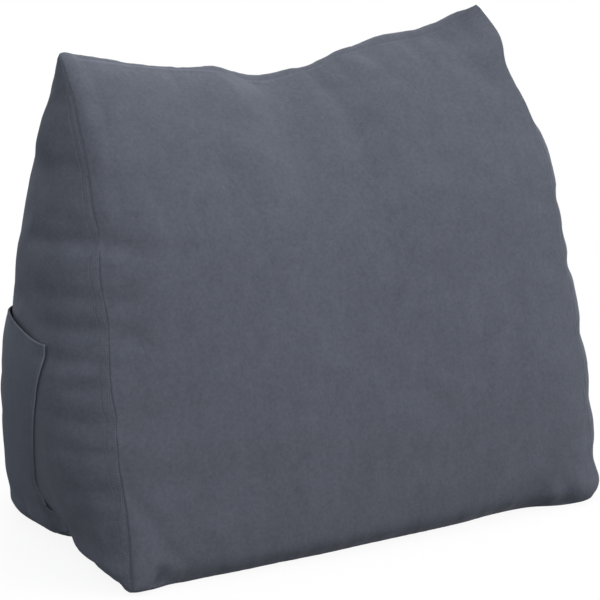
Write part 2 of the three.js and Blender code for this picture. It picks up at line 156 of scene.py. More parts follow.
# How each panel swells beside its seams, and its main creases from (a, b) to (a, b), with depth and width
panelSwell = {
    "front": {
        "facing": 1, "rise": 0.024, "crown": 0.012, "belly": 0,
        "reach": {"near": 0.034, "far": 0.034, "low": 0.005, "high": 0.034},
        "tuck": {
            "at": [0, 0.05, 0.08, 0.1, 0.13, 0.155, 0.19, 0.3, 1],
            "reach": [0.023, 0.023, 0.0215, 0.0200, 0.0215, 0.0210, 0.0190, 0.0190, 0.0190],
            "from": 0.044, "to": 0.975, "soft": 0.0020, "sharp": 4,
        },
        "nearUp": {"at": [0, 0.2, 0.3, 0.45, 0.6, 0.8, 1], "times": [2.4, 2.6, 2.2, 1.6, 0.95, 0.5, 0.35]},
        "rollLow": 0.25, "rollHigh": 0,
        "creases": [
            (0, 0.66, 0.16, 0.65, 0.0042, 0.012),
            (0, 0.56, 0.08, 0.56, 0.0018, 0.011),
            (0, 0.49, 0.08, 0.49, 0.0015, 0.011),
            (0, 0.32, 0.07, 0.31, 0.0014, 0.010),
            (0.3, 1, 0.31, 0.94, 0.0009, 0.012),
            (0.45, 1, 0.47, 0.92, 0.0011, 0.010),
            (0.575, 1, 0.60, 0.92, 0.0009, 0.009),
            (0.64, 1, 0.66, 0.92, 0.0007, 0.009),
            (0.71, 1, 0.74, 0.90, 0.0006, 0.012),
            (0.9, 0.88, 1, 0.86, 0.0020, 0.018),
            (0.012, 0, 0.018, 0.19, -0.0050, 0.022),
            (0.048, 0, 0.064, 0.05, 0.0090, 0.0075),
            (0.965, 0, 0.95, 0.14, -0.0030, 0.014),
            (0.925, 0, 0.91, 0.09, 0.0050, 0.010),
        ],
    },
    "back": {
        "facing": -1, "rise": 0.034, "crown": 0.010, "belly": 0,
        "swellAcross": {
            "at": [0, 0.04, 0.08, 0.15, 0.22, 0.3, 0.4, 0.5, 0.6, 0.7, 0.8, 0.88, 0.94, 1],
            "times": [1.88, 1.74, 1.21, 0.91, 0.82, 0.84, 1.06, 1.01, 0.87, 0.94, 1.14, 1.19, 1.46, 2.2],
        },
        "reach": {"near": 0.028, "far": 0.028, "low": 0.022, "high": 0.015},
        "rollLow": 0.4, "rollHigh": 1.2,
        "creases": [
            (0, 0.7, 0.12, 0.69, 0.002, 0.015),
            (0, 0.4, 0.12, 0.41, 0.002, 0.015),
            (1, 0.62, 0.88, 0.61, 0.002, 0.015),
            (1, 0.3, 0.89, 0.31, 0.002, 0.015),
        ],
    },
    "left": {
        "facing": -1, "rise": 0.041, "crown": 0.008, "belly": 0.004,
        "swellUp": {
            "at": [0, 0.06, 0.12, 0.2, 0.3, 0.4, 0.5, 0.6, 0.66, 0.72, 0.78, 0.84, 0.9, 1],
            "times": [1.32, 0.78, 0.92, 1.06, 1.15, 1.14, 1.00, 1.04, 1.02, 1.00, 0.97, 1.15, 1.15, 0.92],
        },
        "reach": {"near": 0.026, "far": 0.031, "low": 0.030},
        "tuck": {"at": [0, 1], "reach": [0.0306, 0.0306], "from": -1, "to": 2, "soft": 0.01, "sharp": 8},
        "nearUp": {  # the swell starts more slowly where this is larger
            "at": [0, 0.55, 0.66, 0.78, 0.9, 1], "times": [1, 1, 1.2, 1.7, 2, 2],
        },
        "rollLow": 0.48, "rollHigh": 0,
        "creases": [
            (0, 0.8, 0.6, 0.78, 0.0014, 0.012),
            (0, 0.668, 0.6, 0.64, 0.0044, 0.0095),
            (0, 0.566, 0.5, 0.545, 0.0028, 0.010),
            (0, 0.505, 0.45, 0.488, 0.0028, 0.009),
            (0, 0.447, 0.4, 0.432, 0.0024, 0.0085),
            (0, 0.397, 0.36, 0.385, 0.0020, 0.008),
            (0, 0.335, 0.36, 0.325, 0.0027, 0.009),
            (0, 0.275, 0.33, 0.265, 0.0023, 0.008),
            (0, 0.195, 0.33, 0.185, 0.0023, 0.009),
            (0.8, 0.202, 0.3, 0.182, 0.0044, 0.121),
        ],
    },
    "right": {
        "facing": 1, "rise": 0.041, "crown": 0.008, "belly": 0.005,
        "swellUp": {
            "at": [0, 0.1, 0.2, 0.3, 0.4, 0.5, 0.6, 0.7, 0.8, 0.9, 1],
            "times": [0.75, 1, 0.88, 0.82, 0.83, 0.8, 0.7, 0.86, 0.39, 0.25, 0.25],
        },
        "reach": {"near": 0.026, "far": 0.030, "low": 0.034},
        "rollLow": 0.2, "rollHigh": 0,
        "creases": [
            (0, 0.78, 0.5, 0.77, 0.0025, 0.013),
            (0, 0.62, 0.5, 0.61, 0.0020, 0.013),
            (0, 0.48, 0.5, 0.46, 0.0025, 0.013),
            (0, 0.33, 0.4, 0.32, 0.0020, 0.013),
            (0, 0.2, 0.4, 0.19, 0.0020, 0.013),
            (0, 0.07, 0.3, 0.09, 0.0025, 0.013),
        ],
    },
    "base": {
        "facing": -1, "rise": 0.010, "crown": 0, "belly": 0,
        "reach": {"near": 0.016, "far": 0.016, "low": 0.016, "high": 0.016},
        "rollLow": 0, "rollHigh": 0,
        "creases": [],
    },
}


def readTable(table, column, at):  # one smooth curve through the table's rows
    x, v = np.array(table["at"], float), np.array(table[column], float)
    row = np.arange(len(x))
    before, after = np.maximum(row - 1, 0), np.minimum(row + 1, len(x) - 1)
    slope = (v[after] - v[before]) / (x[after] - x[before])
    k = np.clip(np.searchsorted(x, at, side="right") - 1, 0, len(x) - 2)
    span = x[k + 1] - x[k]
    t = (at - x[k]) / span
    rest = 1 - t
    swing = span * t * rest * (rest * slope[k] - t * slope[k + 1])
    return rest * rest * (1 + 2 * t) * v[k] + t * t * (3 - 2 * t) * v[k + 1] + swing


def fade(away, reach):
    return np.exp(-away / reach)


def bell(off, width):
    return np.exp(-((off / width) ** 2))


def stepDown(x, top=1):  # from its top to nothing as x passes 0
    furthest = 30  # the step is over long before
    return top / (1 + np.exp(np.clip(x, -furthest, furthest)))


def footStray(table, inward, at):
    tuck = readTable(table, "tuck", at)
    return np.stack([inward[0] * tuck, inward[1] * tuck, readTable(table, "lift", at)], 1)


def uprightStray(table, outward, at):
    level = np.zeros(len(at))
    forward = readTable(table, "forward", at) if "forward" in table else level
    return np.stack([outward * readTable(table, "out", at), -forward, level], 1)


def ridgeStray(table, down, at):
    return np.outer(readTable(table, "drop", at), down)


def makeSeam(start, end, stray=None, direction=None, bow=None, ripple=None):
    start, end = np.array(start), np.array(end)

    def strayBy(table, at):
        return stray(table, direction, at) if table else np.zeros((len(at), 3))

    return {
        "smooth": lambda at: start + np.outer(at, end - start) + strayBy(bow, at),
        "ripple": lambda at: strayBy(ripple, at),
    }


def seamPoints(seam, at):
    return seam["smooth"](at) + seam["ripple"](at)


def makePanels(size):
    x, y = size["footMiddle"]
    half, ridgeHalf, lift = size["baseWidth"] / 2, size["ridgeWidth"] / 2, size["cornerLift"]
    backY, ridgeY, top = y + size["baseDepth"], y + size["ridgeSetBack"], size["ridgeHeight"]
    frontLeft, frontRight = (x - half, y, size["frontLeftLift"]), (x + half, y, lift)
    backLeft, backRight = (x - half, backY, lift), (x + half, backY, lift)
    ridgeLeft, ridgeRight = (x - ridgeHalf, ridgeY, top), (x + ridgeHalf, ridgeY, top)
    runs = {  # its two ends, how and which way it strays, and its bow
        "ridge": (ridgeLeft, ridgeRight, ridgeStray, (0, 0, -1), "ridge"),
        "frontFoot": (frontLeft, frontRight, footStray, (0, 1), "foot"),
        "backFoot": (backLeft, backRight, footStray, (0, -1), "foot"),
        "leftFoot": (frontLeft, backLeft, footStray, (1, 0), "foot"),
        "rightFoot": (frontRight, backRight, footStray, (-1, 0), "foot"),
        "frontLeft": (frontLeft, ridgeLeft, uprightStray, -1, "frontLeft"),
        "frontRight": (frontRight, ridgeRight, uprightStray, 1, "frontRight"),
        "backLeft": (backLeft, ridgeLeft, uprightStray, -1, "backSide"),
        "backRight": (backRight, ridgeRight, uprightStray, 1, "backSide"),
    }
    seams = {"leftTip": makeSeam(ridgeLeft, ridgeLeft), "rightTip": makeSeam(ridgeRight, ridgeRight)}
    for name, (start, end, stray, direction, bow) in runs.items():
        seams[name] = makeSeam(start, end, stray, direction, size[bow], size.get(name + "Ripple"))
    edges = {
        "front": ("frontFoot", "ridge", "frontLeft", "frontRight"),
        "back": ("backFoot", "ridge", "backLeft", "backRight"),
        "left": ("leftFoot", "leftTip", "frontLeft", "backLeft"),
        "right": ("rightFoot", "rightTip", "frontRight", "backRight"),
        "base": ("frontFoot", "backFoot", "leftFoot", "rightFoot"),
    }
    made = {}
    for name, seamNames in edges.items():
        sides = zip(("low", "high", "near", "far"), [seams[n] for n in seamNames])
        made[name] = dict(panelSwell[name], **dict(sides))
    return made, [frontLeft, frontRight, backLeft, backRight, ridgeLeft, ridgeRight]


panels, corners = makePanels(cover)


def slackPoints(panel, a, b):  # the cloth between the four seams, before the filling swells it
    low, high, near, far = (panel[k]["smooth"] for k in ("low", "high", "near", "far"))
    a1, b1 = a[:, None], b[:, None]
    zero, one = np.zeros(1), np.ones(1)
    flat = low(a) * (1 - b1) + high(a) * b1 + near(b) * (1 - a1) + far(b) * a1
    lowLine, highLine = (seam(zero) * (1 - a1) + seam(one) * a1 for seam in (low, high))
    return flat - (lowLine * (1 - b1) + highLine * b1)


def unit(v, least=1e-12):
    return v / np.maximum(np.linalg.norm(v, axis=1), least)[:, None]


def facingOut(pointsAt, facing, a, b, step):
    across = unit(pointsAt(np.minimum(a + step, 1), b) - pointsAt(np.maximum(a - step, 0), b))
    up = unit(pointsAt(a, np.minimum(b + step, 1)) - pointsAt(a, np.maximum(b - step, 0)))
    return up, facing * unit(np.cross(across, up))


def distancesTo(panel, a, b):  # from a point of the panel to each of its seams, and the panel's size there
    width = np.linalg.norm(panel["near"]["smooth"](b) - panel["far"]["smooth"](b), axis=1)
    height = np.linalg.norm(panel["low"]["smooth"](a) - panel["high"]["smooth"](a), axis=1)
    away = {"near": a * width, "far": (1 - a) * width, "low": b * height, "high": (1 - b) * height}
    return away, width, height


def creaseDepth(panel, a, b, away, width, height):
    depth = np.zeros(len(a))
    for a0, b0, a1, b1, deep, wide in panel["creases"]:
        runX, runY = (a1 - a0) * width, (b1 - b0) * height
        hereX, hereY = (a - a0) * width, (b - b0) * height
        along = np.clip((hereX * runX + hereY * runY) / np.maximum(runX**2 + runY**2, 1e-9), 0, 1)
        off = np.hypot(hereX - runX * along, hereY - runY * along) / wide
        depth += deep * np.cos(along * np.pi / 2) * np.exp(-off * off)
    fromSeam = np.minimum.reduce(list(away.values()))
    return depth * (1 - fade(fromSeam, cover["creaseStart"]))


def tuckShare(tuck, a):  # how much of the tuck there is along the foot
    return stepDown((tuck["from"] - a) / tuck["soft"]) * stepDown((a - tuck["to"]) / tuck["soft"])


def tuckRise(tuck, a, height):  # straight up from the foot seam, then sharply level
    share = height / readTable(tuck, "reach", a)
    return share / (1 + share ** tuck["sharp"]) ** (1 / tuck["sharp"])


def timesAt(panel, key, at):
    return readTable(panel[key], "times", at) if key in panel else 1


def fromSeams(panel, away):  # how far the nearest seam is, apart from a side panel's tip
    return np.minimum.reduce([away[side] for side in panel["reach"]])


def aboveFloor(points):
    points[:, 2] = np.maximum(points[:, 2], 0)
    return points


def panelPoints(name, a, b):
    panel = panels[name]
    away, width, height = distancesTo(panel, a, b)
    up, out = facingOut(lambda p, q: slackPoints(panel, p, q), panel["facing"], a, b, cover["probe"])
    full = np.ones(len(a))
    for side, reach in panel["reach"].items():
        rise = 1 - fade(away[side], reach * (timesAt(panel, "nearUp", b) if side == "near" else 1))
        if side == "low" and "tuck" in panel:
            rise += tuckShare(panel["tuck"], a) * (tuckRise(panel["tuck"], a, away[side]) - rise)
        full *= rise
    middle = 16 * a * (1 - a) * b * (1 - b)  # 1 in the middle of the panel
    belly = panel["belly"] * bell(b - cover["bellyAt"], cover["bellySpread"])
    times = timesAt(panel, "swellUp", b) * timesAt(panel, "swellAcross", a)
    swell = (panel["rise"] + belly) * full * times + panel["crown"] * middle
    rollHigh = panel["rollHigh"] * fade(away["high"], cover["rollFade"])
    roll = rollHigh - panel["rollLow"] * fade(away["low"], cover["rollFade"])
    points = slackPoints(panel, a, b) + unit(out + up * roll[:, None]) * swell[:, None]
    points -= out * creaseDepth(panel, a, b, away, width, height)[:, None]
    sides = {"low": (a, b), "high": (a, 1 - b), "near": (b, a), "far": (b, 1 - a)}
    for side, (along, off) in sides.items():  # shares along a seam, and off it
        share = fade(away[side], cover["rippleFade"]) * (1 - off**4)  # none of it on the seam across
        points += panel[side]["ripple"](along) * share[:, None]
    points = aboveFloor(points)
    for side in ("near", "far", "low", "high"):  # exactly on its seams, and at a corner on the level one
        along, off = sides[side]
        points[off == 0] = seamPoints(panel[side], along[off == 0])
    return points


def wear(piece, shares):  # painted light and shade at each point: paler where lit, darker where shaded
    piece.data.attributes.new("worn", "FLOAT", "POINT").data.foreach_set("value", list(shares))


# The net of the cover: lines close together beside the seams, and even between them
net = {
    "edgeLines": [0.0005, 0.0011, 0.0020, 0.0034, 0.0054, 0.0082, 0.0118, 0.0158],
    "sideLines": [0.0004, 0.0009, 0.0014, 0.0018, 0.0022, 0.0029, 0.0040, 0.0052, 0.0060, 0.0065, 0.0070,
                  0.0079, 0.0097, 0.0125, 0.0160],
    "pitch": 0.0043,
    "narrowPitch": 0.0027,  # a side panel has fewer lines where they would come closer
    "mostEdge": 0.42,  # of a length that the lines beside one of its seams may take up
    "mostSide": 0.4,
    "weldWithin": 2e-6,
}


def linesAcross(length, pitch, edgeLines):
    edge = np.array(edgeLines) / length
    if len(edge) == 0 or edge[-1] > net["mostEdge"]:
        return np.linspace(0, 1, max(1, round(length / pitch)) + 1)
    count = max(1, round((1 - 2 * edge[-1]) * length / pitch))
    middle = np.linspace(edge[-1], 1 - edge[-1], count + 1)[1:-1]
    return np.concatenate([[0], edge, middle, (1 - edge)[::-1], [1]])


def sideRow(width, count, layout):  # a row of a side panel, which gets narrower towards its tip
    edge = np.array([line for line in layout["sideLines"] if line < net["mostSide"] * width])
    if len(edge) == 0:
        return np.linspace(0, 1, max(1, round(width / layout["narrowPitch"])) + 1)
    middle = width - 2 * edge[-1]
    while middle / count < layout["narrowPitch"] and count > 1:
        count = (count + 1) // 2
    even = np.linspace(edge[-1], width - edge[-1], count + 1)[1:-1]
    return np.concatenate([[0], edge, even, (width - edge)[::-1], [width]]) / width


def netRows(name, layout):  # each row is its shares a, and its share b
    pitch, lines = layout["pitch"], layout["edgeLines"]
    widths = linesAcross(cover["baseWidth"], pitch, lines)
    heights = linesAcross(cover["ridgeHeight"], pitch, lines)
    depths = linesAcross(cover["baseDepth"], pitch, layout["sideLines"])
    if name == "base":
        return [(widths, b) for b in depths]
    if name in ("front", "back"):
        return [(widths, b) for b in heights]
    count = len(depths) - 1 - 2 * len(layout["sideLines"])
    rows = [(depths, 0.0)]
    for b in heights[1:-1]:
        width = distancesTo(panels[name], np.zeros(1), np.array([b]))[1][0]
        rows.append((sideRow(width, count, layout), b))
    rows.append((np.zeros(1), 1.0))
    return rows


def turned(face, facing):
    return face if facing > 0 else face[::-1]


def stripFaces(lower, upper, first, second, facing):  # joins two rows of different counts
    faces, i, j = [], 0, 0
    while i < len(lower) - 1 or j < len(upper) - 1:
        canLower, canUpper = i < len(lower) - 1, j < len(upper) - 1
        nextLower = (lower[i] + lower[i + 1]) / 2 if canLower else 2
        nextUpper = (upper[j] + upper[j + 1]) / 2 if canUpper and len(upper) > 1 else 2
        if canLower and (nextLower <= nextUpper or not canUpper):
            face = (first + i, first + i + 1, second + j)
            i += 1
        else:
            face = (first + i, second + j + 1, second + j)
            j += 1
        faces.append(turned(face, facing))
    return faces


def makeNet(layout):
    a, b, owner, faces, start = [], [], [], [], 0
    for name, panel in panels.items():
        rows = netRows(name, layout)
        for k, (shares, share) in enumerate(rows):
            if k + 1 < len(rows):
                above, nextStart = rows[k + 1][0], start + len(shares)
                if len(above) == len(shares):
                    for i in range(len(shares) - 1):
                        face = (start + i, start + i + 1, nextStart + i + 1, nextStart + i)
                        faces.append(turned(face, panel["facing"]))
                else:
                    faces += stripFaces(shares, above, start, nextStart, panel["facing"])
            a.append(shares)
            b.append(np.full(len(shares), share))
            owner += [name] * len(shares)
            start += len(shares)
    return {"a": np.concatenate(a), "b": np.concatenate(b), "owner": np.array(owner), "faces": faces}


def byPanel(made, work):  # gathers a value for each point, panel by panel
    out = None
    for name in panels:
        own = made["owner"] == name
        value = work(name, made["a"][own], made["b"][own])
        if out is None:
            out = np.zeros((len(own),) + value.shape[1:])
        out[own] = value
    return out


def weld(points):  # points of two panels on one seam become one
    keys = np.round(points / net["weldWithin"]).astype(np.int64)
    first, inverse = np.unique(keys, axis=0, return_index=True, return_inverse=True)[1:]
    return first, inverse.ravel()


def weldedFaces(faces, inverse):
    welded = []
    for face in faces:
        kept = []
        for v in (int(inverse[i]) for i in face):
            if v not in kept:
                kept.append(v)
        if len(kept) > 2:
            welded.append(tuple(kept))
    return welded


def makeObject(name, points, faces, smooth=True):
    mesh = bpy.data.meshes.new(name)
    mesh.from_pydata([tuple(p) for p in points], [], faces)
    mesh.validate()
    if smooth:
        mesh.polygons.foreach_set("use_smooth", [True] * len(mesh.polygons))
    mesh.update()
    return addObject(name, mesh)


# The filling: cloth simulation on a coarser net finds the small folds that the sewn seams gather
filling = {
    "pitch": 0.0085,
    "frames": 22,
    "quality": 5,
    "mass": 0.3,
    "stretchStiffness": 12,
    "shearStiffness": 4,
    "bendStiffness": 0.3,
    "damping": 2,
    "pressure": 4.0,
    "growth": 0.045,  # how much the cloth grows between its seams
    "cap": 0.012,  # the furthest that a point may move
    "blur": 60,  # what is left after so much blurring is too broad for a small fold
    "leastAway": 1e-4,  # from a seam, so that the two ways of blurring always have a share
    "strength": 0.55,
    "grid": 72,
}


def heldStill(name, a, b):  # the seams, and the base that the cushion stands on
    return ((a == 0) | (a == 1) | (b == 0) | (b == 1) | (name == "base")).astype(float)


def settle(layout):
    made = makeNet(dict(net, pitch=layout["pitch"], narrowPitch=layout["pitch"], edgeLines=[], sideLines=[]))
    points = byPanel(made, panelPoints)
    first, inverse = weld(points)
    piece = makeObject("filling", points[first], weldedFaces(made["faces"], inverse))
    held = byPanel(made, heldStill)[first]
    pinned = piece.vertex_groups.new(name="pinned")
    pinned.add([int(i) for i in np.nonzero(held > 0)[0]], 1.0, "REPLACE")
    cloth = piece.modifiers.new("cloth", "CLOTH")
    cloth.settings.quality = layout["quality"]
    cloth.settings.mass = layout["mass"]
    cloth.settings.tension_stiffness = layout["stretchStiffness"]
    cloth.settings.compression_stiffness = layout["stretchStiffness"]
    cloth.settings.shear_stiffness = layout["shearStiffness"]
    cloth.settings.bending_stiffness = layout["bendStiffness"]
    cloth.settings.air_damping = layout["damping"]
    cloth.settings.use_pressure = True
    cloth.settings.uniform_pressure_force = layout["pressure"]
    cloth.settings.shrink_min = -layout["growth"]
    cloth.settings.vertex_group_mass = "pinned"
    cloth.settings.effector_weights.gravity = 0
    cloth.collision_settings.use_collision = False
    cloth.point_cache.frame_start, cloth.point_cache.frame_end = 1, layout["frames"]
    scene = bpy.context.scene
    for number in range(1, layout["frames"] + 1):
        scene.frame_set(number)
    settled = piece.evaluated_get(bpy.context.evaluated_depsgraph_get())
    moved = np.zeros(len(settled.data.vertices) * 3, np.float32)
    settled.data.vertices.foreach_get("co", moved)
    move = moved.reshape(-1, 3).astype(float) - points[first]
    scene.frame_set(1)
    bpy.data.objects.remove(piece)
    far = np.linalg.norm(move, axis=1)
    print("filling settled, points", len(far), "mean move", round(float(far.mean()) * 1000, 2), "mm")
    move *= np.minimum(1, layout["cap"] / np.maximum(far, 1e-9))[:, None]
    return made, move[inverse]


def blurAlong(grid, axis, times):
    count = grid.shape[axis]
    for turn in range(times):
        padded = np.concatenate([grid.take([0], axis), grid, grid.take([-1], axis)], axis)
        grid = (padded.take(range(count), axis) + 2 * grid + padded.take(range(2, count + 2), axis)) / 4
    return grid


def between(at, along, points):  # the points at these distances along a line of points
    return np.stack([np.interp(at, along, points[:, k]) for k in range(3)], -1)


def gridOfMoves(made, move, layout):  # the small folds alone, on an even grid of shares for each panel
    grids = {}
    even = np.linspace(0, 1, layout["grid"] + 1)
    for name, panel in panels.items():
        own = made["owner"] == name
        a, b, own = made["a"][own], made["b"][own], move[own]
        levels = np.unique(b)
        rows = np.array([between(even, a[b == level], own[b == level]) for level in levels])
        grid = np.stack([between(even, levels, rows[:, i]) for i in range(len(even))], 1)
        smoothUp, smoothAcross = blurAlong(grid, 0, layout["blur"]), blurAlong(grid, 1, layout["blur"])
        shareA, shareB = np.meshgrid(even, even)
        away = distancesTo(panel, shareA.ravel(), shareB.ravel())[0]
        beside, above = (
            np.minimum(away[first], away[second]).reshape(shareA.shape + (1,)) + layout["leastAway"]
            for first, second in (("near", "far"), ("low", "high"))
        )
        broad = (smoothUp * above + smoothAcross * beside) / (above + beside)
        folds = blurAlong(blurAlong(grid - broad, 0, 1), 1, 1)
        grids[name] = folds * layout["strength"]
    return grids


def readGrid(grid, a, b):  # smooth reading between the grid's points
    rows, columns = grid.shape[0] - 1, grid.shape[1] - 1
    x, y = a * columns, b * rows
    i, j = np.minimum(x.astype(int), columns - 1), np.minimum(y.astype(int), rows - 1)
    u, v = x - i, y - j

    def weights(t):
        return [
            ((-t + 2) * t - 1) * t / 2,
            ((3 * t - 5) * t * t + 2) / 2,
            ((-3 * t + 4) * t + 1) * t / 2,
            (t - 1) * t * t / 2,
        ]

    out = np.zeros((len(a), 3))
    for n, wy in enumerate(weights(v)):
        jj = np.clip(j + n - 1, 0, rows)
        for m, wx in enumerate(weights(u)):
            ii = np.clip(i + m - 1, 0, columns)
            out += grid[jj, ii] * (wx * wy)[:, None]
    return out


moveGrids = gridOfMoves(*settle(filling), filling)


def coverPoints(name, a, b):  # the filled cover, without the relief of its sewing
    points = panelPoints(name, a, b)
    away = fromSeams(panels[name], distancesTo(panels[name], a, b)[0])
    points += readGrid(moveGrids[name], a, b) * (1 - bell(away, cover["foldStart"]))[:, None]
    return aboveFloor(points)


hollow = {  # behind the pocket's mouth
    "panel": "left",
    "at": (0.70, 0.432),
    "size": (0.30, 0.026),
    "depth": 0.008,
    "rearFade": 0.1,
}


def hollowDepth(name, a, b):
    if name != hollow["panel"]:
        return np.zeros(len(a))
    offA, offB = (a - hollow["at"][0]) / hollow["size"][0], (b - hollow["at"][1]) / hollow["size"][1]
    return hollow["depth"] * np.exp(-offA * offA - offB * offB) * np.clip((1 - a) / hollow["rearFade"], 0, 1)


# The sewing: a ditch along each seam, the seam allowance pressed to the side panel, and its rows of stitches
sewing = {
    "ditch": 0.0012,
    "ditchWidth": {"side": 0.00040, "panel": 0.00070},
    "rightDitch": 0.4,  # of it, at the seam on the right of the front
    "ridgeLipWidth": 0.0012,
    "ridgeLip": {  # it stands up a little, with a painted highlight along it that is strongest at the left
        "at": [0, 0.1, 0.4, 0.55, 0.7, 0.85, 1],
        "up": [0.0010, 0.0010, 0.0009, 0.0007, 0.0003, 0.0003, 0.0003],
        "worn": [0.7, 0.8, 0.6, 0.35, 0.15, 0.05, 0],
        # painted light and shade under the ridge: paler at the left, darker at the right
        "brushed": [0.12, 0.14, 0.10, 0.04, 0, -0.10, -0.06],
    },
    "ridgeBrushed": 0.020,  # how far below the ridge the painted light and shade reach
    "tipBrushed": {  # painted shade, darker towards the tip of the left panel
        "at": [0, 0.68, 0.76, 0.80, 0.95, 1],
        "dark": [0, 0, 0.12, 0.25, 0.28, 0.20],
    },
    # painted bounce light: paler near the foot of the left panel and of the pocket
    "footBrushed": {"at": [0, 0.04, 0.08, 0.11, 1], "pale": [0.30, 0.25, 0.15, 0, 0]},
    "lip": 0.0003,
    "lipAt": 0.0022,
    "lipWidth": 0.0012,
    "cornerFade": 0.012,
    "welt": 0.0004,  # the seam allowance under the side panel
    "weltBeyond": 0.0006,  # the outer row of stitches
    "weltSoft": 0.0010,
    "stitchAt": [0.0018, 0.0065],  # from the seam, across the slack cloth
    "stitchDitch": 0.0004,
    "stitchDitchWidth": 0.00055,
    "narrow": 0.030,  # the welt and its ditches fade as a side panel gets about this narrow
    "narrowest": 0.6,  # of it, where they end
    "pucker": 0.0005,
    "puckerStart": 0.004,
    "puckerFade": 0.014,
    "puckerWaves": [14, 19, 27, 37, 51],
    "puckerEven": 1.2,
    "drift": 2,  # how far the waves are shifted to and fro along the seam
    "driftWaves": 3,
    "seeds": {"near": 3, "far": 4, "low": 5, "high": 6},
    "otherSeeds": 10,  # added on the back and the right panel
}


def waves(at, seed):  # a smooth uneven wave along a seam, mostly between -1 and 1
    random = np.random.default_rng(seed)
    total = np.zeros(len(at))
    for count in sewing["puckerWaves"]:
        begin, driftBegin = random.random(), random.random()
        drift = sewing["drift"] * np.sin(2 * np.pi * (sewing["driftWaves"] * at + driftBegin))
        total += np.sin(2 * np.pi * (count * at + begin) + drift)
    return total / math.sqrt(len(sewing["puckerWaves"]) * sewing["puckerEven"])


def reliefAt(name, a, b):
    panel = panels[name]
    away, width = distancesTo(panel, a, b)[:2]
    side = name in ("left", "right")
    wide = sewing["ditchWidth"]["side" if side else "panel"]
    relief = np.zeros(len(a))
    for edge in panel["reach"]:
        if edge == "high" and name != "base":
            continue  # the ridge seam is pulled flat
        strength = sewing["rightDitch"] if (name, edge) in (("front", "far"), ("right", "near")) else 1
        relief = np.minimum(relief, -strength * sewing["ditch"] * bell(away[edge], wide))
    relief += sewing["lip"] * bell(fromSeams(panel, away) - sewing["lipAt"], sewing["lipWidth"]) * (not side)
    if name in ("front", "back"):
        relief += readTable(sewing["ridgeLip"], "up", a) * bell(away["high"], sewing["ridgeLipWidth"])
    if name != "base":
        for edge in panel["reach"]:
            share = a if edge in ("low", "high") else b
            seed = sewing["seeds"][edge] + (sewing["otherSeeds"] if name in ("back", "right") else 0)
            strength = sewing["pucker"] * fade(away[edge], sewing["puckerFade"])
            relief += strength * (1 - fade(away[edge], sewing["puckerStart"])) * waves(share, seed)
    if side:
        room = np.clip(width / sewing["narrow"] - sewing["narrowest"], 0, 1)
        d = away["near"]
        step = stepDown((d - sewing["stitchAt"][1] - sewing["weltBeyond"]) / sewing["weltSoft"])
        relief += room * sewing["welt"] * step * (1 - bell(d, sewing["weltSoft"]))
        for line in sewing["stitchAt"]:
            relief -= room * sewing["stitchDitch"] * bell(d - line, sewing["stitchDitchWidth"])
    return relief


# painted light and shade: paler and darker bands on the left panel and under the ridge
def paintedLightAt(name, a, b):
    if name == "left":
        return readTable(sewing["footBrushed"], "pale", b) - readTable(sewing["tipBrushed"], "dark", b)
    if name not in ("front", "back"):
        return np.zeros(len(a))
    away = distancesTo(panels[name], a, b)[0]["high"]
    worn = readTable(sewing["ridgeLip"], "worn", a) * bell(away, sewing["ridgeLipWidth"])
    return worn + readTable(sewing["ridgeLip"], "brushed", a) * bell(away, sewing["ridgeBrushed"])


def vertexNormals(points, faces):
    normals = np.zeros((len(points), 3))
    for count in (3, 4):
        index = np.array([f for f in faces if len(f) == count])
        if len(index) == 0:
            continue
        corner = [points[index[:, k]] for k in range(count)]
        normal = np.cross(corner[2] - corner[0], corner[-1] - corner[1])
        for k in range(count):
            np.add.at(normals, index[:, k], normal)
    return unit(normals)


def bluntTips(points):  # real corners are a little round
    middle = np.array([points[:, k].mean() for k in range(3)])
    for place in corners:
        inward = unit((middle - np.array(place))[None])[0]
        near = np.linalg.norm(points - np.array(place), axis=1) / cover["tipRadius"]
        points += inward * (cover["tipPull"] * np.clip(1 - near, 0, 1) ** 2)[:, None]
    return points


def makeCover():
    made = makeNet(net)
    points = byPanel(made, coverPoints)
    relief = byPanel(made, lambda name, a, b: reliefAt(name, a, b) - hollowDepth(name, a, b))
    first, inverse = weld(byPanel(made, panelPoints))
    faces = weldedFaces(made["faces"], inverse)
    points, relief, worn = points[first], relief[first], byPanel(made, paintedLightAt)[first]
    for corner in corners:
        relief *= np.clip(np.linalg.norm(points - np.array(corner), axis=1) / sewing["cornerFade"], 0, 1)
    points += vertexNormals(points, faces) * relief[:, None]
    piece = makeObject("cushionCover", aboveFloor(bluntTips(points)), faces)
    wear(piece, worn)
    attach(piece, "root")
    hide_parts("cushion")
    print("cover made, faces", len(faces))
    return piece


coverPiece = makeCover()


